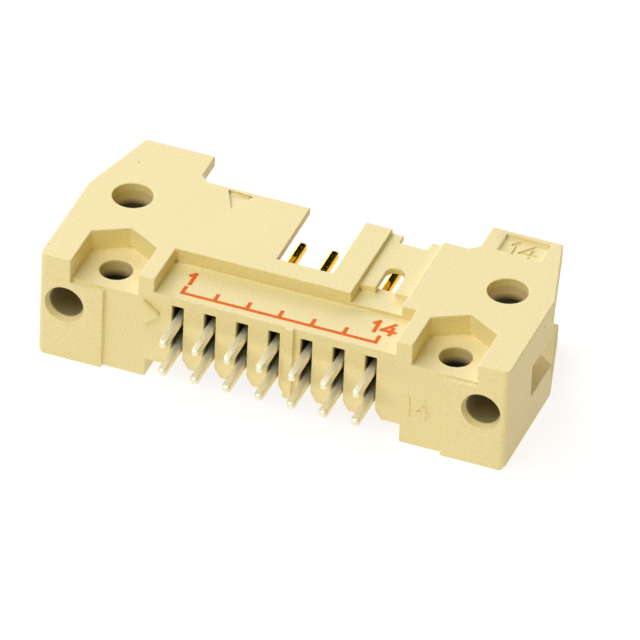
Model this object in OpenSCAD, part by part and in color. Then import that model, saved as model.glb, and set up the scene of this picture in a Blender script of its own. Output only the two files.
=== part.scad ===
// Shrouded two-row pin header for a ribbon cable, with straight solder tails and ears for locking levers.
// The header lies on its underside: X runs along the rows, +Y is the mating side and +Z is up.

/* [Contacts] */
// Contact columns, with two contacts in each
columns = 7; // [5:1:32]
// Distance between columns, and between the two rows
pitch = 2.54; // [2.3:0.01:2.9]
// Side of a contact's square section
contact_w = 0.64; // [0.4:0.02:0.8]
// Reach of the solder tails past the mounting pads
tail_reach = 2.75; // [1:0.05:6]
// Reach of the mating pins past the cavity floor
pin_reach = 6.1; // [3:0.05:9]
// Length of the tapered end of a contact
taper_l = 0.3; // [0.2:0.05:0.9]
// Width that is left at the end of the taper
taper_w = 0.38; // [0.1:0.02:0.38]
// Clearance round a contact in its hole
contact_fit = 0.01; // [0.005:0.005:0.05]

/* [Shroud] */
// Height of the housing
body_h = 9; // [8.6:0.1:12]
// Height of the plane midway between the two rows
row_z = 4.33; // [4.1:0.01:4.5]
// Thickness of the base wall, from the rear face to the cavity floor
base_l = 6.8; // [6.2:0.1:9]
// Depth of the mating cavity
cavity_depth = 6.25; // [5:0.05:10]
// Height of the mating cavity
cavity_h = 6.55; // [5.6:0.05:7]
// Room from the last column to the end of the cavity
cavity_side = 3.43; // [3.2:0.01:5]

/* [Polarising key] */
// Width of the open key slot in the top wall
key_w = 4.4; // [3:0.1:4.6]
// Reach of the key slot and the window behind the cavity floor
key_back = 0.7; // [0.3:0.05:0.9]
// Thickness of the top wall at the sides of the key slot
key_lip = 0.55; // [0.4:0.05:1]
// Sideways run of the lead-in bevel under those sides
key_lead = 0.45; // [0.2:0.05:0.8]
// Place of the break-out window, in pitches from the middle
window_pitches = 2.5; // [2.4:0.1:2.6]
// Width of the break-out window
window_w = 4; // [3:0.1:4.2]
// How far the window's skin lies below the top
window_drop = 0.37; // [0.1:0.01:0.5]
// Thickness of the window's skin
window_skin = 0.5; // [0.3:0.05:0.7]
// How far the ledge behind the window lies below the top
ledge_drop = 0.9; // [0.6:0.05:1.1]
// Width of the break-out slot in the window
pull_w = 1.5; // [0.8:0.1:2.4]
// Length of the break-out slot
pull_l = 2.9; // [2:0.1:4]
// Width of the nick in the window's mating edge
nick_w = 2.2; // [1:0.1:2.8]
// Length of that nick
nick_l = 0.95; // [0.3:0.05:1.5]

/* [Ears] */
// Length of an ear beyond the cavity
ear_l = 7.45; // [7.2:0.05:10]
// Reach of the ears past the shroud
ear_reach = 3.25; // [1.5:0.05:6]
// Sideways run of the taper at an ear's tip
ear_taper_x = 1.9; // [0.5:0.1:3]
// Length of that taper
ear_taper_y = 6.9; // [4:0.1:7.5]
// Bevel where the shroud meets an ear
ear_bevel = 0.65; // [0.2:0.05:1.2]
// Thickness of an ear's plates at their inner edges
ear_lip = 0.85; // [0.4:0.05:1]
// Sideways run of the lead-in bevel between those edges
ear_lead = 0.45; // [0.2:0.05:0.8]
// Rounding of the rear outer corners
corner_r = 0.5; // [0.2:0.05:0.8]
// Bevel along the lower end edges
foot_bevel = 0.35; // [0.1:0.05:0.6]

/* [Lever slots] */
// Height of the middle plane of the lever slots
lever_z = 4.6; // [4.3:0.05:4.9]
// Height of the narrow slot round the pivot
lever_slot_h = 2.75; // [2:0.05:3.2]
// Distance of the narrow slot from the rear face
lever_slot_y = 5; // [4.6:0.1:6]
// Height of the wide mouth of the slot
lever_mouth_h = 5.9; // [4:0.1:6.2]
// Room from the pivot hole to the wide mouth
lever_mouth_gap = 0.25; // [0.2:0.05:1]
// Diameter of the pivot hole
pivot_d = 3.1; // [2:0.1:3.4]
// Distance of the pivot hole from the end of the cavity
pivot_x = 3.82; // [3:0.02:4.2]
// Distance of the pivot hole from the rear face
pivot_y = 9.2; // [8.6:0.1:9.6]

/* [Nut pockets] */
// Width across the flats of a nut pocket
nut_af = 5.24; // [4.2:0.02:5.6]
// Depth of a nut pocket below the top
nut_depth = 1.78; // [1.2:0.02:1.9]
// Distance of the nut from the end of the cavity
nut_x = 2.37; // [2.3:0.01:2.6]
// Distance of the nut from the rear face
nut_y = 2.33; // [1.8:0.01:2.5]
// Diameter of the screw hole below the nut
screw_d = 2.5; // [2:0.1:2.8]

/* [Rear face] */
// Thickness of the mounting pads at the ends of the rear face
pad_t = 0.35; // [0.1:0.05:0.8]
// Distance of a pad's inner edge from the end of the cavity
pad_x = 2.35; // [1:0.05:3.5]
// How far a pad's top lies below the floor of the nut pocket
pad_step = 0.22; // [0.1:0.02:0.5]
// Distance of the fixing hole from the end of the cavity
fixing_x = 5.4; // [5.2:0.05:5.6]
// Height of the fixing hole
fixing_z = 4.9; // [4.3:0.05:5]
// Diameter of the fixing hole
fixing_d = 2.6; // [2:0.1:2.7]
// Diameter of the countersink round the fixing hole
fixing_rim_d = 3.1; // [2.9:0.1:3.3]
// Depth of that countersink below the pad
fixing_rim_l = 0.7; // [0.3:0.05:1.2]
// Width of a slot for the solder tails
slot_w = 0.92; // [0.86:0.02:1.2]
// Depth of a slot for the solder tails
slot_l = 4; // [1:0.1:4.6]
// Web left between a slot and the label recess
slot_web = 0.77; // [0.4:0.01:0.9]
// Sideways run of the bevel at a slot's lower end
slot_bevel_x = 0.5; // [0.2:0.05:0.55]
// Height of that bevel
slot_bevel_z = 0.8; // [0.3:0.05:1]
// Width of the centre rib
rib_w = 0.64; // [0.3:0.02:0.8]
// Height of the centre rib above the rear face
rib_t = 0.35; // [0.1:0.05:0.8]

/* [Recesses] */
// Depth of the label recess below the top
label_d = 1.2; // [1.1:0.05:1.3]
// Length of the label recess from the rear face
label_l = 4.3; // [3:0.1:5.2]
// Reach of the label recess past the last column
label_side = 1.9; // [1:0.05:2.2]
// Height of the recess under the solder tails
under_h = 1.57; // [0.6:0.01:1.7]
// Length of the recess under the solder tails
under_l = 4.3; // [2:0.1:5.2]
// Reach of that recess past the last column
under_side = 2.45; // [1:0.05:3]

/* [Hidden] */
$fn = 48;
// How far a cut runs past the face that it opens
over = 1;
contacts = 2 * columns;

last_x = (columns - 1) * pitch / 2;
cavity_x = last_x + cavity_side;
end_x = cavity_x + ear_l;
shroud_y = base_l + cavity_depth;
ear_y = shroud_y + ear_reach;
taper_y = ear_y - ear_taper_y;
tail_y = -pad_t - tail_reach;
pin_y = base_l + pin_reach;
cavity_top = row_z + cavity_h / 2;
label_z = body_h - label_d;
nut_floor = body_h - nut_depth;
nut_outer_x = cavity_x + nut_x + nut_af / 2;
slot_top = label_z - slot_web;
window_x = window_pitches * pitch;
key_y = base_l - key_back;
mouth_z = [lever_z - lever_mouth_h / 2, lever_z + lever_mouth_h / 2];
mouth_y = pivot_y + pivot_d / 2 + lever_mouth_gap;
mouth_x = cavity_x + pivot_x + pivot_d / 2;
rib_x = columns % 2 == 1 ? pitch / 2 : 0;
// Moves the rear face so that the whole part is centred on the origin
rear_y = -(tail_y + max(ear_y, pin_y)) / 2;

housing_colour = "#ead9a8";
contact_colour = "#d8c79a";

function column_x(column) = column * pitch - last_x;
// Odd contacts are in the upper row, and contact 1 is at the left end
function contact_column(i) = floor((i - 1) / 2);
function contact_z(i) = row_z + (i % 2 == 1 ? pitch : -pitch) / 2;
function mirrored(points) = [for (i = [len(points) - 1 : -1 : 0]) [-points[i].x, points[i].y]];

module both_ends() {
    children();
    mirror([1, 0, 0]) children();
}

// A box that is centred on X, from its lower y and z to its upper y and z
module bar(x, width, y, z) {
    translate([x - width / 2, y[0], z[0]]) cube([width, y[1] - y[0], z[1] - z[0]]);
}

// Raises a plan, drawn in X and Y, between two heights
module raise(z) {
    translate([0, 0, z[0]]) linear_extrude(z[1] - z[0]) children();
}

// Draws a profile, given in X and Z, along Y
module along_y(y) {
    translate([0, y[1], 0]) rotate([90, 0, 0]) linear_extrude(y[1] - y[0]) children();
}

module corner_waste() {
    translate([end_x - corner_r, corner_r - pad_t]) difference() {
        translate([0, -corner_r - over]) square(corner_r + over);
        circle(corner_r);
    }
}

module body_plan() {
    half = [
        [cavity_x + pad_x, 0], [cavity_x + pad_x, -pad_t], [end_x, -pad_t], [end_x, taper_y],
        [end_x - ear_taper_x, ear_y], [cavity_x, ear_y], [cavity_x, shroud_y + ear_bevel],
        [cavity_x - ear_bevel, shroud_y]
    ];
    difference() {
        polygon(concat(half, mirrored(half)));
        both_ends() corner_waste();
    }
}

module foot_waste() {
    along_y([-pad_t - over, ear_y + over])
        polygon([[end_x - foot_bevel, 0], [end_x + over, foot_bevel + over], [end_x + over, -over],
                 [end_x - foot_bevel - over, -over]]);
}

module mating_cavity() {
    bar(0, 2 * cavity_x, [base_l, shroud_y + over], [cavity_top - cavity_h, cavity_top]);
}

// The profile that widens the key slot towards the cavity
module key_lead_in() {
    half = [[key_w / 2 + key_lead, cavity_top - over], [key_w / 2 + key_lead, cavity_top],
            [key_w / 2, body_h - key_lip]];
    polygon(concat(half, mirrored(half)));
}

// The open slot and the thin window that take the keys of the cable's plug
module keyways() {
    skin_top = body_h - window_drop;
    key_out = [key_y, shroud_y + over];
    cavity_out = [base_l, shroud_y + over];
    pull_end = key_y + pull_l - pull_w / 2;
    through = [cavity_top - over, body_h + over];
    above_ledge = [body_h - ledge_drop, body_h + over];
    bar(0, key_w, key_out, [cavity_top, body_h + over]);
    bar(0, key_w, cavity_out, through);
    along_y(cavity_out) key_lead_in();
    bar(window_x, window_w, key_out, [skin_top, body_h + over]);
    bar(window_x, window_w, cavity_out, [cavity_top - over, skin_top - window_skin]);
    bar(window_x, window_w, [label_l - over, key_y], above_ledge);
    bar(window_x, pull_w, [label_l, pull_end], above_ledge);
    bar(window_x, pull_w, [base_l, pull_end], through);
    translate([window_x, pull_end, through[0]]) cylinder(d = pull_w, h = through[1] - through[0]);
    bar(window_x, nick_w, [shroud_y - nick_l, shroud_y + over], through);
}

module label_recess() {
    bar(0, 2 * (last_x + label_side), [-over, label_l], [label_z, body_h + over]);
}

module tail_recess() {
    bar(0, 2 * (last_x + under_side), [-rib_t - over, under_l], [-over, under_h]);
}

module tail_slot() {
    half = [[slot_w / 2 + slot_bevel_x, under_h - over], [slot_w / 2 + slot_bevel_x, under_h],
            [slot_w / 2, under_h + slot_bevel_z], [slot_w / 2, slot_top]];
    along_y([-over, slot_l]) polygon(concat(half, mirrored(half)));
}

module contact_hole(z) {
    width = contact_w + 2 * contact_fit;
    bar(0, width, [slot_l - over, base_l + over], [z - width / 2, z + width / 2]);
}

module nut_pocket() {
    hex_side = nut_af / sqrt(3);
    translate([cavity_x + nut_x, 0, 0]) {
        raise([nut_floor, body_h + over])
            polygon([[-nut_af / 2, -pad_t - over], [nut_af / 2, -pad_t - over], [nut_af / 2, nut_y + hex_side / 2],
                     [0, nut_y + hex_side], [-nut_af / 2, nut_y + hex_side / 2]]);
        translate([0, nut_y, -over]) cylinder(d = screw_d, h = body_h + 2 * over);
    }
    bar((cavity_x + nut_outer_x) / 2, nut_outer_x - cavity_x, [-pad_t - over, 0],
        [nut_floor - pad_step, body_h + over]);
}

module lever_slot() {
    inner_x = cavity_x - over;
    outer_x = end_x + over;
    slot_z = [lever_z - lever_slot_h / 2, lever_z + lever_slot_h / 2];
    bar((inner_x + outer_x) / 2, outer_x - inner_x, [lever_slot_y, ear_y + over], slot_z);
    raise(mouth_z)
        polygon([[inner_x, mouth_y], [mouth_x, mouth_y], [end_x, taper_y], [outer_x, taper_y],
                 [outer_x, ear_y + over], [inner_x, ear_y + over]]);
    translate([cavity_x + pivot_x, pivot_y, -over]) cylinder(d = pivot_d, h = body_h + 2 * over);
}

// Thins the inner edges of an ear's two plates, where the cable's plug enters
module ear_lead_in() {
    along_y([shroud_y + ear_bevel, ear_y + over])
        polygon([[cavity_x - over, ear_lip], [cavity_x, ear_lip], [cavity_x + ear_lead, mouth_z[0]],
                 [cavity_x + ear_lead, mouth_z[1]], [cavity_x, body_h - ear_lip], [cavity_x - over, body_h - ear_lip]]);
}

module fixing_hole() {
    flare = (fixing_rim_d - fixing_d) / fixing_rim_l;
    translate([cavity_x + fixing_x, -pad_t, fixing_z]) rotate([-90, 0, 0]) {
        cylinder(d = fixing_d, h = pad_t + lever_slot_y + over);
        translate([0, 0, -over]) cylinder(d1 = fixing_rim_d + flare * over, d2 = fixing_d, h = fixing_rim_l + over);
    }
}

module housing() {
    color(housing_colour) translate([0, rear_y, 0]) difference() {
        union() {
            raise([0, body_h]) body_plan();
            bar(rib_x, rib_w, [-rib_t, over], [under_h, label_z]);
        }
        mating_cavity();
        keyways();
        label_recess();
        tail_recess();
        for (column = [0 : columns - 1]) translate([column_x(column), 0, 0]) {
            tail_slot();
            contact_hole(row_z + pitch / 2);
            contact_hole(row_z - pitch / 2);
        }
        both_ends() {
            foot_waste();
            nut_pocket();
            lever_slot();
            ear_lead_in();
            fixing_hole();
        }
    }
}

// A contact seen from one side, from the tail's end at the origin to the mating tip
module contact_outline() {
    length = pin_y - tail_y;
    half = [[taper_w / 2, 0], [contact_w / 2, taper_l], [contact_w / 2, length - taper_l], [taper_w / 2, length]];
    polygon(concat(half, mirrored(half)));
}

module contact(i) {
    color(contact_colour) translate([column_x(contact_column(i)), rear_y + tail_y, contact_z(i)]) intersection() {
        linear_extrude(contact_w, center = true) contact_outline();
        rotate([0, 90, 0]) linear_extrude(contact_w, center = true) contact_outline();
    }
}

housing();
for (i = [1 : contacts]) contact(i);
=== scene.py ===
"""Looks of a shrouded two-row pin header: ivory moulding, tinned solder tails and gilt mating pins."""
import math
from collections import namedtuple
from itertools import combinations

import bmesh
import bpy
from mathutils import Matrix, Vector, geometry


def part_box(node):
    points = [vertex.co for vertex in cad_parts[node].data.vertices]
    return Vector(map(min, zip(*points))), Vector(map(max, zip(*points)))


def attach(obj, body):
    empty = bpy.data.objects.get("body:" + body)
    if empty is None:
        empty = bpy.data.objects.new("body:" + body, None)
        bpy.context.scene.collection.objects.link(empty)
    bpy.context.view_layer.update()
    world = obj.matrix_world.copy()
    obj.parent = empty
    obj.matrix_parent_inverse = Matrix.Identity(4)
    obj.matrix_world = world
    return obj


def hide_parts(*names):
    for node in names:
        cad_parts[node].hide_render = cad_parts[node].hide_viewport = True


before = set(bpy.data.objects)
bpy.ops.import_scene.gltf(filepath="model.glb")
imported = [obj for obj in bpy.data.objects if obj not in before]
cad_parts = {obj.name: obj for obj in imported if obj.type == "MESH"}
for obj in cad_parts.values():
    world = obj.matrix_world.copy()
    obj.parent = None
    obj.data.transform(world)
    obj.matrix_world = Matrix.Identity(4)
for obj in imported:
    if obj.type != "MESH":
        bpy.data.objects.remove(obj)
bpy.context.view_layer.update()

# Lengths below are in millimetres, and MM turns them into the frame's metres
MM = 0.001

# Places on the housing, read from the frame
HOUSING_LOW, HOUSING_HIGH = (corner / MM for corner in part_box("housing"))
TOP_Z = HOUSING_HIGH.z
CONTACT_NAMES = sorted((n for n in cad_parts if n.startswith("contact_")),
                       key=lambda n: int(n.split("_")[1]))
CONTACTS = len(CONTACT_NAMES)


def contact_x(i):
    """The middle of contact i along the rows."""
    low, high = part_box(CONTACT_NAMES[i - 1])
    middle = (low + high) / 2 / MM
    return middle.x


FIRST_X = contact_x(1)
LAST_X = contact_x(CONTACTS)

# The end pads reach furthest to the rear, and stand proud of the rear face by their thickness
PAD_T = 0.35
REAR_Y = HOUSING_LOW.y + PAD_T

# The floor of the label recess
LABEL_DEPTH = 1.2
LABEL_Z = TOP_Z - LABEL_DEPTH

# Upright round holes at both ends: distance from the middle, distance from the rear face, radius, height of
# the rim, length of the wall below it, and the depths between which the wall turns dim, and dark
UprightHole = namedtuple("UprightHole", "x y radius rim_z length dim dark")
POCKET_DEPTH = 1.78
PIVOT_HOLE = UprightHole(14.87, 9.2, 1.55, TOP_Z, 4.0, (0.5, 0.75), (1.3, 1.9))
SCREW_HOLE = UprightHole(13.42, 2.33, 1.25, TOP_Z - POCKET_DEPTH, 7.3, (0.1, 0.35), (0.85, 1.5))

# Round holes in the rear face at both ends: distance from the middle, height, radius, radius of the bevelled
# rim, and the distances from the rear face between which the wall turns dim
FIXING_X = 16.45
FIXING_Z = 4.9
FIXING_R = 1.3
FIXING_RIM_R = 1.6
FIXING_DIM_Y = (-0.15, 0.3)

# Rounded edges: radius on the housing, radius on the contacts, and steps across the rounding
EDGE_R = 0.09
PIN_EDGE_R = 0.13
EDGE_STEPS = 3

# An edge is sharp from this turn between its faces, and runs on into the next edge up to this turn
SHARP_DEG = 30
RUN_ON_DEG = 35

# The part of its room that an edge's rounding takes, and the least part of the radius that is worth rounding
ROOM_USED = 0.9
LEAST_SHARE = 0.1

# Edges that close in on each other by less than this, for each length they move, count as side by side
LEAST_CLOSING = 0.1

# Two edges that meet are taken to be this far apart at most, in radians, so that corner_room stays finite
WIDEST_CORNER = 3.1

# Points closer than this are one point, and triangles lower than this are no faces
SAME_POINT = 0.0005
NO_HEIGHT = 0.00002

# Faces with less turn between them than this are one flat face
FLAT_DEG = 0.5

# The sunk triangle on the top that marks contact 1, with its base's distance from the rear face
TOP_MARK_W = 2.15
TOP_MARK_L = 2.05
TOP_MARK_Y = 12.7
MARK_DEPTH = 0.2

# The raised triangle on the rear face that marks contact 1, with its base's X and its middle's height
REAR_MARK_W = 1.3
REAR_MARK_H = 2.0
REAR_MARK_X = -10.25
REAR_MARK_Z = 6.0
REAR_MARK_PROUD = 0.34

# The sunk field on the right ear, with distances from the rear face
FIELD_X = (12.3, 15.8)
FIELD_Y = (13.6, 15.85)
FIELD_DEPTH = 0.28

# The contact count cut in the field's floor: left, front and height of its numerals
FIELD_COUNT = (13.0, 13.95, 1.5)
FIELD_COUNT_DEPTH = 0.12
FIELD_COUNT_STROKE = 0.27

# The contact count that stands on the rear face: left, foot and height of its numerals
REAR_COUNT = (10.25, 2.7, 1.5)
REAR_COUNT_PROUD = 0.08
REAR_COUNT_STROKE = 0.22

# How far the place of a count reaches past its numerals, and its width in heights
COUNT_MARGIN = 0.2
COUNT_W = 1.7

# How far the place of a sign reaches past its depth
SIGN_MARGIN = 0.05

# Shapes of the numerals, as a width and strokes between points of a cell one unit high
NUMERALS = {
    "1": (0.42, [((0.08, 0.78), (0.30, 1.0)), ((0.30, 1.0), (0.30, 0.0))]),
    "4": (0.86, [((0.58, 1.0), (0.02, 0.28)), ((0.02, 0.28), (0.78, 0.28)), ((0.58, 0.62), (0.58, 0.0))]),
}

# The slots round the solder tails: how far they reach past the end columns, their lowest and highest place,
# the depths between which their walls turn dark, and their length
SLOT_SIDE = 1.0
SLOT_Z = (1.62, 7.1)
SLOT_DARK_Y = (0.1, 0.7)
SLOT_L = 4.1

# The printed scale in the label recess, with distances from the rear face
PRINT_T = 0.012
PRINT_STROKE = 0.3
PRINT_LINE_Y = 0.85
PRINT_TICK_L = 0.75
PRINT_NUMBER_Y = 2.1
PRINT_NUMBER_H = 1.3

# Camera, as the photograph sees the part, with angles in degrees
VIEW_AZIMUTH = 19.458
VIEW_ELEVATION = 36.471
VIEW_ROLL = 2.517
VIEW_TARGET = (1.415, -0.6, 4.5)
VIEW_DISTANCE = 969.6
SENSOR_W = 36
VIEW_LENS = 737.3

# Soft square lights that shine on the origin: place, side, watts and colour
LIGHTS = {
    "top_front": ((-300, -350, 890), 1000, 9.3, (0.9, 0.94, 1.0)),
    "back_left": ((-700, 600, 400), 800, 9.2, (0.97, 0.963, 1.0)),
    "front": ((0, -900, 450), 1000, 2.3, (1.0, 0.9, 0.1)),
    "right": ((900, 0, 450), 1000, 1.5, (1.0, 0.78, 0.02)),
    "back": ((0, 900, 450), 400, 1.6, (0.8, 0.86, 1.0)),
}

# The glowing floor, a little below the part
FLOOR_SIZE = 8000
FLOOR_Z = -0.01
FLOOR_GREY = (0.25, 0.25, 0.25, 1)
FLOOR_GLOW = (0.83, 0.82, 0.82, 1)
FLOOR_ROUGH = 0.9

# The floor under the two ends of the part, which doesn't glow
COVERED_X = (11.5, 17.3)
COVERED_Y = (-6.3, 4.3)


# Meshes

def prism(name, corners, lift):
    """A closed prism on a flat outline of corners, which lift carries to its other end."""
    bm = bmesh.new()
    face = bm.faces.new([bm.verts.new(Vector(c) * MM) for c in corners])
    top = bmesh.ops.extrude_face_region(bm, geom=[face])["geom"]
    moved = [v for v in top if isinstance(v, bmesh.types.BMVert)]
    bmesh.ops.translate(bm, verts=moved, vec=Vector(lift) * MM)
    bmesh.ops.recalc_face_normals(bm, faces=bm.faces)
    return mesh_object(name, bm)


def mesh_object(name, bm):
    """An object of a finished mesh, put in the scene."""
    mesh = bpy.data.meshes.new(name)
    bm.to_mesh(mesh)
    bm.free()
    obj = bpy.data.objects.new(name, mesh)
    bpy.context.scene.collection.objects.link(obj)
    return obj


def stroke(p, q, width):
    """The outline of a straight stroke, with its ends half a width past its points."""
    p, q = Vector(p), Vector(q)
    along = (q - p).normalized() * width / 2
    across = Vector((-along.y, along.x))
    return [p - along - across, q + along - across, q + along + across, p - along + across]


def number_strokes(text, start, height, width):
    """Stroke outlines of a whole number, from its lower left corner."""
    outlines = []
    x = start[0]
    for numeral in text:
        advance, lines = NUMERALS[numeral]
        for p, q in lines:
            p = (x + p[0] * height, start[1] + p[1] * height)
            q = (x + q[0] * height, start[1] + q[1] * height)
            outlines.append(stroke(p, q, width))
        x += advance * height + width
    return outlines


def centred_number(text, middle, height, width):
    """Stroke outlines of a whole number, whose foot is centred on a point."""
    length = sum(NUMERALS[numeral][0] * height for numeral in text) + (len(text) - 1) * width
    return number_strokes(text, (middle[0] - length / 2, middle[1]), height, width)


def block(name, outlines, spot, lift):
    """One solid of joined strokes, where spot puts an outline's point in space."""
    whole = None
    for outline in outlines:
        piece = prism(name, [spot(p) for p in outline], lift)
        if whole:
            combine(whole, piece, "UNION")
        else:
            whole = piece
    return whole


def combine(obj, other, operation):
    """Applies a boolean of other to obj, and removes other."""
    modifier = obj.modifiers.new(operation.lower(), "BOOLEAN")
    modifier.operation = operation
    modifier.solver = "EXACT"
    modifier.object = other
    bake_modifiers(obj)
    bpy.data.objects.remove(other)


def bake_modifiers(obj):
    """Replaces obj's mesh by what its modifiers make of it."""
    graph = bpy.context.evaluated_depsgraph_get()
    graph.update()
    made = bpy.data.meshes.new_from_object(obj.evaluated_get(graph), depsgraph=graph)
    made.name = obj.name
    obj.modifiers.clear()
    obj.data = made


def plain_copy(node, name):
    """A copy of a CAD node's mesh, with faces of no height taken out and flat faces merged."""
    bm = bmesh.new()
    bm.from_mesh(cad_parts[node].data)
    merge_points(bm)
    bmesh.ops.dissolve_degenerate(bm, dist=NO_HEIGHT * MM, edges=bm.edges)
    merge_flat(bm)
    return mesh_object(name, bm)


def merge_points(bm):
    """Makes one point of points that are as good as in one place."""
    bmesh.ops.remove_doubles(bm, verts=bm.verts, dist=SAME_POINT * MM)


def merge_flat(bm):
    """Makes one face of faces that lie in one plane."""
    merge_points(bm)
    bmesh.ops.dissolve_limit(bm, angle_limit=math.radians(FLAT_DEG), verts=bm.verts, edges=bm.edges)


def edge_distance(point, edge):
    """The distance from a point to the nearest place on an edge."""
    p, q = (vert.co for vert in edge.verts)
    share = geometry.intersect_point_line(point, p, q)[1]
    return (point - p.lerp(q, min(max(share, 0), 1))).length


def edge_gap(a, b):
    """The distance between two edges of a face."""
    return min([edge_distance(v.co, b) for v in a.verts] + [edge_distance(v.co, a) for v in b.verts])


def turn(a, b, corner):
    """The angle between two edges that meet at a corner."""
    return (a.other_vert(corner).co - corner.co).angle(b.other_vert(corner).co - corner.co)


def corner_room(a, b, corner):
    """How far two edges that meet can move before the shorter one is used up."""
    angle = min(turn(a, b, corner), WIDEST_CORNER)
    return min(a.calc_length(), b.calc_length()) * math.tan(angle / 2)


def inward(loop):
    """The direction into a face, square to one of its edges."""
    return loop.face.normal.cross(loop.link_loop_next.vert.co - loop.vert.co).normalized()


def smooth_patches(bm, sharp):
    """Groups of faces that meet at edges which aren't sharp."""
    grouped = set()
    for first in bm.faces:
        if first in grouped:
            continue
        grouped.add(first)
        patch = [first]
        for face in patch:
            around = {other for edge in face.edges if edge not in sharp for other in edge.link_faces}
            patch += around - grouped
            grouped |= around
        yield patch


def edge_rooms(bm, sharp):
    """How far each sharp edge can move into its faces before it meets another one that moves as far."""
    rooms = {edge: math.inf for edge in sharp}
    for patch in smooth_patches(bm, sharp):
        sides = [(loop.edge, inward(loop)) for face in patch for loop in face.loops if loop.edge in sharp]
        for (a, into_a), (b, into_b) in combinations(sides, 2):
            closing = (into_a - into_b).length
            corner = set(a.verts) & set(b.verts)
            if len(corner) == 2 or closing < LEAST_CLOSING:
                continue
            room = corner_room(a, b, corner.pop()) if corner else edge_gap(a, b) / closing
            rooms[a] = min(rooms[a], room)
            rooms[b] = min(rooms[b], room)
    return rooms


def even_rooms(rooms):
    """Gives edges that run on from each other, with little turn, the least room of them all."""
    straight = math.radians(180 - RUN_ON_DEG)
    queue = sorted(rooms, key=rooms.get)
    for edge in queue:
        for corner in edge.verts:
            for other in corner.link_edges:
                if rooms.get(other, 0) > rooms[edge] and turn(edge, other, corner) > straight:
                    rooms[other] = rooms[edge]
                    queue.append(other)
    return rooms


def weigh_edges(bm, radius, share):
    """Gives each sharp edge its part of the radius, or leaves it sharp where there is no room."""
    weight = bm.edges.layers.float.new("bevel_weight_edge")
    limit = math.radians(SHARP_DEG)
    sharp = {edge for edge in bm.edges if len(edge.link_faces) == 2 and edge.calc_face_angle() > limit}
    for edge, room in even_rooms(edge_rooms(bm, sharp)).items():
        middle = (edge.verts[0].co + edge.verts[1].co) / 2 / MM
        wanted = share(middle) if share else 1
        edge[weight] = min(wanted, ROOM_USED * room / (radius * MM))
        if edge[weight] < LEAST_SHARE:
            edge[weight] = 0
            edge.smooth = False


def prepare_edges(obj, radius, share):
    """Merges obj's flat faces, and weighs its sharp edges for rounding."""
    bm = bmesh.new()
    bm.from_mesh(obj.data)
    merge_flat(bm)
    bm.normal_update()
    weigh_edges(bm, radius, share)
    for face in bm.faces:
        face.smooth = True
    bm.to_mesh(obj.data)
    bm.free()


def round_edges(obj, radius, share=None):
    """Rounds obj's sharp edges. share gives an edge's part of the radius from its middle."""
    prepare_edges(obj, radius, share)
    bevel = obj.modifiers.new("round", "BEVEL")
    bevel.width = radius * MM
    bevel.segments = EDGE_STEPS
    bevel.limit_method = "WEIGHT"
    bevel.use_clamp_overlap = False
    bevel.loop_slide = False
    bevel.miter_outer = "MITER_SHARP"
    bevel.face_strength_mode = "FSTR_ALL"
    normals = obj.modifiers.new("normals", "WEIGHTED_NORMAL")
    normals.keep_sharp = True
    normals.use_face_influence = True
    bake_modifiers(obj)


def ride_on_root(obj):
    """Puts a piece on the only body."""
    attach(obj, "root")


# The moulded housing

def cut_top_mark(housing):
    """Cuts the triangle in the top, in contact 1's column."""
    back = REAR_Y + TOP_MARK_Y
    half = TOP_MARK_W / 2
    corners = [(FIRST_X - half, back), (FIRST_X, back - TOP_MARK_L), (FIRST_X + half, back)]
    tool = prism("top_mark", [(x, y, TOP_Z - MARK_DEPTH) for x, y in corners], (0, 0, 2 * MARK_DEPTH))
    combine(housing, tool, "DIFFERENCE")


def add_rear_mark(housing):
    """Adds the triangle to the rear face, which points at contact 1."""
    low = REAR_MARK_Z - REAR_MARK_H / 2
    tip = REAR_MARK_X + REAR_MARK_W
    corners = [(REAR_MARK_X, low), (tip, REAR_MARK_Z), (REAR_MARK_X, low + REAR_MARK_H)]
    inside = REAR_Y + REAR_MARK_PROUD
    tool = prism("rear_mark", [(x, inside, z) for x, z in corners], (0, -2 * REAR_MARK_PROUD, 0))
    combine(housing, tool, "UNION")


def cut_field(housing):
    """Cuts the sunk field in the right ear."""
    (left, right), (front, back) = FIELD_X, FIELD_Y
    corners = [(left, front), (right, front), (right, back), (left, back)]
    floor = TOP_Z - FIELD_DEPTH
    tool = prism("field", [(x, REAR_Y + y, floor) for x, y in corners], (0, 0, 2 * FIELD_DEPTH))
    combine(housing, tool, "DIFFERENCE")


def cut_field_count(housing):
    """Cuts the contact count in the field's floor."""
    x, y, height = FIELD_COUNT
    outlines = number_strokes(str(CONTACTS), (x, REAR_Y + y), height, FIELD_COUNT_STROKE)
    low = TOP_Z - FIELD_DEPTH - FIELD_COUNT_DEPTH
    count = block("count", outlines, lambda p: (p.x, p.y, low), (0, 0, 2 * FIELD_COUNT_DEPTH))
    combine(housing, count, "DIFFERENCE")


def add_rear_count(housing):
    """Adds the contact count to the rear face."""
    x, z, height = REAR_COUNT
    outlines = number_strokes(str(CONTACTS), (x, z), height, REAR_COUNT_STROKE)
    inside = REAR_Y + REAR_COUNT_PROUD
    count = block("count", outlines, lambda p: (p.x, inside, p.y), (0, -2 * REAR_COUNT_PROUD, 0))
    combine(housing, count, "UNION")


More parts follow.
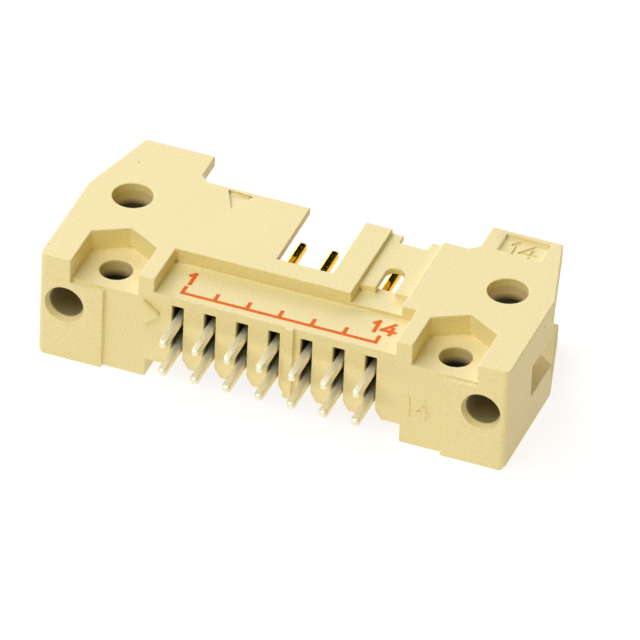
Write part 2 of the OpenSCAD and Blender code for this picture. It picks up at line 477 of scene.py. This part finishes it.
def in_sign(p):
    """Whether a point lies on one of the moulded signs."""
    y = p.y - REAR_Y
    on_top_mark = (abs(p.x - FIRST_X) <= TOP_MARK_W / 2
                   and abs(y - TOP_MARK_Y + TOP_MARK_L / 2) <= TOP_MARK_L / 2)
    in_field = FIELD_X[0] <= p.x <= FIELD_X[1] and FIELD_Y[0] <= y <= FIELD_Y[1]
    x, z, height = REAR_COUNT
    on_count = (x - COUNT_MARGIN <= p.x <= x + COUNT_W * height
                and z - COUNT_MARGIN <= p.z <= z + height + COUNT_MARGIN)
    on_rear_mark = (REAR_MARK_X <= p.x <= REAR_MARK_X + REAR_MARK_W
                    and abs(p.z - REAR_MARK_Z) <= REAR_MARK_H / 2)
    near_top = p.z > TOP_Z - FIELD_DEPTH - FIELD_COUNT_DEPTH - SIGN_MARGIN
    near_rear = abs(y) < REAR_MARK_PROUD + SIGN_MARGIN
    return (near_top and (on_top_mark or in_field)) or (near_rear and (on_count or on_rear_mark))


def on_fixing_rim(p):
    """Whether a point lies on the bevelled rim of a hole in the rear face."""
    return p.y < REAR_Y and math.hypot(abs(p.x) - FIXING_X, p.z - FIXING_Z) < FIXING_RIM_R


def housing_edge_share(p):
    """The part of the radius that an edge with its middle at p gets: none on signs and bevelled rims."""
    return 0 if in_sign(p) or on_fixing_rim(p) else 1


def make_housing():
    """The moulding, in place of the CAD node."""
    housing = plain_copy("housing", "moulded_housing")
    cut_top_mark(housing)
    cut_field(housing)
    cut_field_count(housing)
    add_rear_mark(housing)
    add_rear_count(housing)
    round_edges(housing, EDGE_R, housing_edge_share)
    housing.data.materials.clear()
    housing.data.materials.append(ivory_plastic())
    ride_on_root(housing)
    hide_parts("housing")


def make_contacts():
    """The contacts, in place of the CAD nodes."""
    metal = contact_metal()
    for i, node in enumerate(CONTACT_NAMES, start=1):
        pin = plain_copy(node, f"pin_{i}")
        round_edges(pin, PIN_EDGE_R)
        pin.data.materials.clear()
        pin.data.materials.append(metal)
        ride_on_root(pin)
        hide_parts(node)


def make_print():
    """The contact scale printed in the label recess, with the first and the last contact's numbers."""
    base = REAR_Y + PRINT_LINE_Y
    outlines = [stroke((FIRST_X, base), (LAST_X, base), PRINT_STROKE)]
    for i in range(1, CONTACTS, 2):
        x = contact_x(i)
        outlines.append(stroke((x, base), (x, base + PRINT_TICK_L), PRINT_STROKE))
    for text, x in (("1", FIRST_X), (str(CONTACTS), LAST_X)):
        outlines += centred_number(text, (x, REAR_Y + PRINT_NUMBER_Y), PRINT_NUMBER_H, PRINT_STROKE)
    ink = block("label_print", outlines, lambda p: (p.x, p.y, LABEL_Z - PRINT_T), (0, 0, 2 * PRINT_T))
    ink.data.materials.clear()
    ink.data.materials.append(orange_ink())
    ride_on_root(ink)


# Materials

def new_material(name):
    """A new material, its shader, and the place on the object in millimetres."""
    material = bpy.data.materials.new(name)
    material.use_nodes = True
    nodes = material.node_tree.nodes
    shader = nodes["Principled BSDF"]
    place = nodes.new("ShaderNodeTexCoord")
    scale = nodes.new("ShaderNodeMapping")
    scale.inputs["Scale"].default_value = (1 / MM, 1 / MM, 1 / MM)
    material.node_tree.links.new(place.outputs["Object"], scale.inputs["Vector"])
    return material, shader, scale.outputs["Vector"]


def noise(material, place, per_mm, detail=3.0, roughness=0.55):
    """Noise from about 0 to 1, with so many bumps in a millimetre."""
    texture = material.node_tree.nodes.new("ShaderNodeTexNoise")
    texture.inputs["Scale"].default_value = per_mm
    texture.inputs["Detail"].default_value = detail
    texture.inputs["Roughness"].default_value = roughness
    material.node_tree.links.new(place, texture.inputs["Vector"])
    return texture.outputs["Fac"]


def ramp(material, value, stops):
    """A colour ramp over value, from (position, colour) stops."""
    node = material.node_tree.nodes.new("ShaderNodeValToRGB")
    while len(node.color_ramp.elements) < len(stops):
        node.color_ramp.elements.new(0.5)
    for element, (position, colour) in zip(node.color_ramp.elements, stops):
        element.position = position
        element.color = (*colour, 1)
    material.node_tree.links.new(value, node.inputs["Fac"])
    return node.outputs["Color"]


def remap(material, value, low, high):
    """A value that goes from low to high while the given one goes from 0 to 1."""
    node = material.node_tree.nodes.new("ShaderNodeMapRange")
    node.inputs["To Min"].default_value = low
    node.inputs["To Max"].default_value = high
    material.node_tree.links.new(value, node.inputs["Value"])
    return node.outputs["Result"]


def bump(material, shader, height, depth_mm, strength):
    """Makes the shader's surface uneven by a height from 0 to 1."""
    node = material.node_tree.nodes.new("ShaderNodeBump")
    node.inputs["Distance"].default_value = depth_mm * MM
    node.inputs["Strength"].default_value = strength
    material.node_tree.links.new(height, node.inputs["Height"])
    material.node_tree.links.new(node.outputs["Normal"], shader.inputs["Normal"])


def axes(material, place):
    """The three coordinates of a place."""
    split = material.node_tree.nodes.new("ShaderNodeSeparateXYZ")
    material.node_tree.links.new(place, split.inputs["Vector"])
    return split.outputs["X"], split.outputs["Y"], split.outputs["Z"]


def rise(material, value, start, end):
    """A value that goes from 0 to 1 while the given one goes from start to end."""
    node = material.node_tree.nodes.new("ShaderNodeMapRange")
    node.inputs["From Min"].default_value = start
    node.inputs["From Max"].default_value = end
    material.node_tree.links.new(value, node.inputs["Value"])
    return node.outputs["Result"]


def within(material, value, low, high):
    """1 between low and high, and 0 elsewhere."""
    node = math_node(material, "COMPARE", value, (low + high) / 2)
    node.inputs[2].default_value = (high - low) / 2
    return node.outputs["Value"]


def product(material, *values):
    """The product of some values."""
    made = values[0]
    for value in values[1:]:
        node = math_node(material, "MULTIPLY", made, 1)
        material.node_tree.links.new(value, node.inputs[1])
        made = node.outputs["Value"]
    return made


def size(material, value):
    """A value without its sign."""
    return math_node(material, "ABSOLUTE", value, 0).outputs["Value"]


def math_node(material, operation, value, second):
    """A node that works on a value and a plain number."""
    node = material.node_tree.nodes.new("ShaderNodeMath")
    node.operation = operation
    material.node_tree.links.new(value, node.inputs[0])
    node.inputs[1].default_value = second
    return node


def mix(material, share, first, second):
    """first where share is 0, and the plain colour second where it is 1."""
    node = material.node_tree.nodes.new("ShaderNodeMix")
    node.data_type = "RGBA"
    colours = [socket for socket in node.inputs if socket.type == "RGBA"]
    material.node_tree.links.new(share, node.inputs["Factor"])
    material.node_tree.links.new(first, colours[0])
    colours[1].default_value = (*second, 1)
    return next(socket for socket in node.outputs if socket.type == "RGBA")


# The plastic's mottled colours, at noise values from low to high
IVORY_STOPS = [(0.35, (0.82, 0.67, 0.325)), (0.5, (0.86, 0.72, 0.375)), (0.65, (0.89, 0.765, 0.425))]
MOTTLE_PER_MM = 5.0
MOTTLE_DETAIL = 4.0
MOTTLE_ROUGH = 0.7

# The plastic's roughness and fine grain
IVORY_ROUGH = (0.42, 0.58)
IVORY_ROUGH_PER_MM = 1.2
GRAIN_PER_MM = 14.0
GRAIN_DETAIL = 2.0
GRAIN_DEPTH = 0.012
GRAIN_STRENGTH = 0.15

# Painted shade in narrow corners: how far it looks for walls, and the open part of the sky at its start and
# end
CREVICE_SHADE = (0.07, 0.052, 0.02)
CREVICE_REACH = 0.4
OPEN_SKY = 0.68
SHUT_SKY = 0.26

# Painted shade in slots and holes, and how far from a hole's radius its wall can be
SLOT_SHADE = (0.02, 0.016, 0.01)
HOLE_DIM = (0.72, 0.58, 0.30)
HOLE_DARK = (0.03, 0.026, 0.015)
FIXING_SHADE = (0.30, 0.24, 0.13)
BORE_MARGIN = 0.06

# Dark specks in the plastic: X, distance from the rear face, and height
SPECK = (0.25, 0.18, 0.08)
SPECKS = [(-16.02, 13.32, 9.0), (18.5, 7.2, 8.09), (-18.37, 0.99, 9.0)]
SPECK_R = 0.09


def in_tail_slots(material, place):
    """How deep a place lies in the slots round the solder tails, from 0 at the rear face to 1."""
    x, y, z = axes(material, place)
    start, end = SLOT_DARK_Y
    return product(material, rise(material, y, REAR_Y + start, REAR_Y + end),
                   within(material, y, REAR_Y, REAR_Y + SLOT_L),
                   within(material, x, FIRST_X - SLOT_SIDE, LAST_X + SLOT_SIDE),
                   within(material, z, *SLOT_Z))


def on_bore_wall(material, place, middle, radius):
    """1 on the wall of a round hole at either end. middle has None for the coordinate along the hole."""
    x, y, z = axes(material, place)
    across = material.node_tree.nodes.new("ShaderNodeCombineXYZ")
    for socket, value, at in zip(across.inputs, (size(material, x), y, z), middle):
        if at is not None:
            material.node_tree.links.new(value, socket)
    apart = distance(material, across.outputs["Vector"], [at or 0 for at in middle])
    return within(material, apart, radius - BORE_MARGIN, radius + BORE_MARGIN)


def in_fixing_holes(material, place):
    """How deep a place lies in the round holes of the rear face, from 0 to 1."""
    start, end = FIXING_DIM_Y
    y = axes(material, place)[1]
    return product(material, rise(material, y, REAR_Y + start, REAR_Y + end),
                   on_bore_wall(material, place, (FIXING_X, None, FIXING_Z), FIXING_R))


def in_upright_hole(material, place, hole, start, end):
    """How far a place on a hole's wall lies between two depths below the rim, from 0 to 1."""
    z = axes(material, place)[2]
    return product(material, rise(material, z, hole.rim_z - start, hole.rim_z - end),
                   within(material, z, hole.rim_z - hole.length, hole.rim_z),
                   on_bore_wall(material, place, (hole.x, REAR_Y + hole.y, None), hole.radius))


def crevices(material):
    """How far the part shuts a place in, from 0 in the open to 1 in a narrow corner."""
    sky = material.node_tree.nodes.new("ShaderNodeAmbientOcclusion")
    sky.inputs["Distance"].default_value = CREVICE_REACH * MM
    sky.only_local = True
    return rise(material, sky.outputs["AO"], OPEN_SKY, SHUT_SKY)


def round_count(material, across, up, count):
    """1 round a contact count, in the two directions of its face, and 0 elsewhere."""
    left, low, height = count
    return product(material, within(material, across, left - COUNT_MARGIN, left + COUNT_W * height),
                   within(material, up, low - COUNT_MARGIN, low + height + COUNT_MARGIN))


def open_crevices(material, place):
    """The painted shade in crevices, apart from that round the contact counts, which would look drawn in."""
    x, y, z = axes(material, place)
    left, low, height = FIELD_COUNT
    on_ear = product(material, round_count(material, x, y, (left, REAR_Y + low, height)),
                     within(material, z, TOP_Z - 2 * FIELD_DEPTH, TOP_Z))
    on_rear = product(material, round_count(material, x, z, REAR_COUNT),
                      within(material, y, REAR_Y - 2 * REAR_COUNT_PROUD, REAR_Y + REAR_COUNT_PROUD))
    return product(material, crevices(material), remap(material, on_ear, 1, 0),
                   remap(material, on_rear, 1, 0))


def distance(material, place, point):
    """The distance of a place from a fixed point."""
    node = material.node_tree.nodes.new("ShaderNodeVectorMath")
    node.operation = "DISTANCE"
    material.node_tree.links.new(place, node.inputs[0])
    node.inputs[1].default_value = point
    return node.outputs["Value"]


def near_point(material, place, point, reach):
    """1 close to a point, and 0 further from it than reach."""
    return rise(material, distance(material, place, point), reach, reach / 2)


def ivory_colour(material, place):
    """The plastic's colour, with its specks, and painted shade in its corners, slots and holes."""
    mottle = noise(material, place, MOTTLE_PER_MM, MOTTLE_DETAIL, MOTTLE_ROUGH)
    colour = ramp(material, mottle, IVORY_STOPS)
    for x, y, z in SPECKS:
        colour = mix(material, near_point(material, place, (x, REAR_Y + y, z), SPECK_R), colour, SPECK)
    colour = mix(material, open_crevices(material, place), colour, CREVICE_SHADE)
    colour = mix(material, in_tail_slots(material, place), colour, SLOT_SHADE)
    colour = mix(material, in_fixing_holes(material, place), colour, FIXING_SHADE)
    for hole in (PIVOT_HOLE, SCREW_HOLE):
        colour = mix(material, in_upright_hole(material, place, hole, *hole.dim), colour, HOLE_DIM)
        colour = mix(material, in_upright_hole(material, place, hole, *hole.dark), colour, HOLE_DARK)
    return colour


def ivory_plastic():
    """The housing's plastic."""
    material, shader, place = new_material("ivory_plastic")
    link = material.node_tree.links.new
    link(ivory_colour(material, place), shader.inputs["Base Color"])
    patches = noise(material, place, IVORY_ROUGH_PER_MM)
    link(remap(material, patches, *IVORY_ROUGH), shader.inputs["Roughness"])
    bump(material, shader, noise(material, place, GRAIN_PER_MM, GRAIN_DETAIL), GRAIN_DEPTH, GRAIN_STRENGTH)
    return material


# The solder tails' tin, at noise values from low to high
TIN_STOPS = [(0.35, (0.95, 0.87, 0.65)), (0.6, (1.0, 0.955, 0.80))]
TIN_PER_MM = 5.0
TIN_METAL = 0.5
TIN_ROUGH = 0.4

# The mating pins' gilt
GILT = (0.90, 0.55, 0.08)
GILT_TINT = (1.0, 0.8, 0.4, 1)
GILT_ROUGH = 0.09

# The distances from the rear face between which tin turns into gilt
GILT_Y = (1.8, 4)

# Fine unevenness of the contacts
WIRE_PER_MM = 9.0
WIRE_DEPTH = 0.006
WIRE_STRENGTH = 0.1


def contact_metal():
    """The contacts' metal, which is tinned at one end and gilt at the other."""
    material, shader, place = new_material("contact_metal")
    link = material.node_tree.links.new
    start, end = GILT_Y
    along = rise(material, axes(material, place)[1], REAR_Y + start, REAR_Y + end)
    tin = ramp(material, noise(material, place, TIN_PER_MM), TIN_STOPS)
    link(mix(material, along, tin, GILT), shader.inputs["Base Color"])
    link(remap(material, along, TIN_ROUGH, GILT_ROUGH), shader.inputs["Roughness"])
    link(remap(material, along, TIN_METAL, 1), shader.inputs["Metallic"])
    shader.inputs["Specular Tint"].default_value = GILT_TINT
    bump(material, shader, noise(material, place, WIRE_PER_MM), WIRE_DEPTH, WIRE_STRENGTH)
    return material


# The ink where it lies thick and where it lies thin, at noise values from low to high
INK_STOPS = [(0.45, (0.78, 0.13, 0.008)), (0.75, (0.84, 0.2, 0.03))]
INK_PER_MM = 7.0
INK_ROUGH = 0.55
INK_SPECULAR = 0.1


def orange_ink():
    """The printed scale's ink."""
    material, shader, place = new_material("orange_ink")
    colour = ramp(material, noise(material, place, INK_PER_MM), INK_STOPS)
    material.node_tree.links.new(colour, shader.inputs["Base Color"])
    shader.inputs["Roughness"].default_value = INK_ROUGH
    shader.inputs["Specular IOR Level"].default_value = INK_SPECULAR
    return material


# Studio

def pale_floor():
    """The floor's material, which glows apart from where the part's ends cover it."""
    material, shader, place = new_material("pale_floor")
    shader.inputs["Base Color"].default_value = FLOOR_GREY
    shader.inputs["Roughness"].default_value = FLOOR_ROUGH
    shader.inputs["Specular IOR Level"].default_value = 0
    shader.inputs["Emission Color"].default_value = FLOOR_GLOW
    x, y = axes(material, place)[:2]
    covered = product(material, within(material, size(material, x), *COVERED_X),
                      within(material, y, *COVERED_Y))
    material.node_tree.links.new(remap(material, covered, 1, 0), shader.inputs["Emission Strength"])
    return material


def make_floor():
    """A wide square floor under the part."""
    half = FLOOR_SIZE / 2
    bm = bmesh.new()
    corners = [(-half, -half), (half, -half), (half, half), (-half, half)]
    bm.faces.new([bm.verts.new(Vector((x, y, FLOOR_Z)) * MM) for x, y in corners])
    floor = mesh_object("floor", bm)
    floor.data.materials.append(pale_floor())


def add_light(name, place, side, power, colour):
    """A square light that shines on the origin."""
    light = bpy.data.lights.new(name, "AREA")
    light.size = side * MM
    light.energy = power
    light.color = colour
    obj = bpy.data.objects.new(name, light)
    obj.location = Vector(place) * MM
    obj.rotation_euler = (-Vector(place)).to_track_quat("-Z", "Y").to_euler()
    bpy.context.scene.collection.objects.link(obj)


def make_studio():
    """The floor and the lights, with no light from the world."""
    make_floor()
    for name, (place, side, power, colour) in LIGHTS.items():
        add_light(name, place, side, power, colour)
    world = bpy.data.worlds.new("studio")
    world.use_nodes = True
    world.node_tree.nodes["Background"].inputs["Strength"].default_value = 0
    bpy.context.scene.world = world
    bpy.context.scene.view_settings.view_transform = "Standard"


def make_camera():
    """The camera, turned to its target and rolled."""
    azimuth, elevation, roll = (math.radians(a) for a in (VIEW_AZIMUTH, VIEW_ELEVATION, VIEW_ROLL))
    back = Vector((math.sin(azimuth) * math.cos(elevation), -math.cos(azimuth) * math.cos(elevation),
                   math.sin(elevation)))
    right = Vector((math.cos(azimuth), math.sin(azimuth), 0))
    up = back.cross(right)
    facing = Matrix((right, up, back)).transposed().to_4x4()
    data = bpy.data.cameras.new("camera")
    data.sensor_width = SENSOR_W
    data.lens = VIEW_LENS
    camera = bpy.data.objects.new("camera", data)
    place = (Vector(VIEW_TARGET) + back * VIEW_DISTANCE) * MM
    camera.matrix_world = Matrix.Translation(place) @ facing @ Matrix.Rotation(roll, 4, "Z")
    bpy.context.scene.collection.objects.link(camera)
    bpy.context.scene.camera = camera


make_camera()
make_housing()
make_contacts()
make_print()
make_studio()
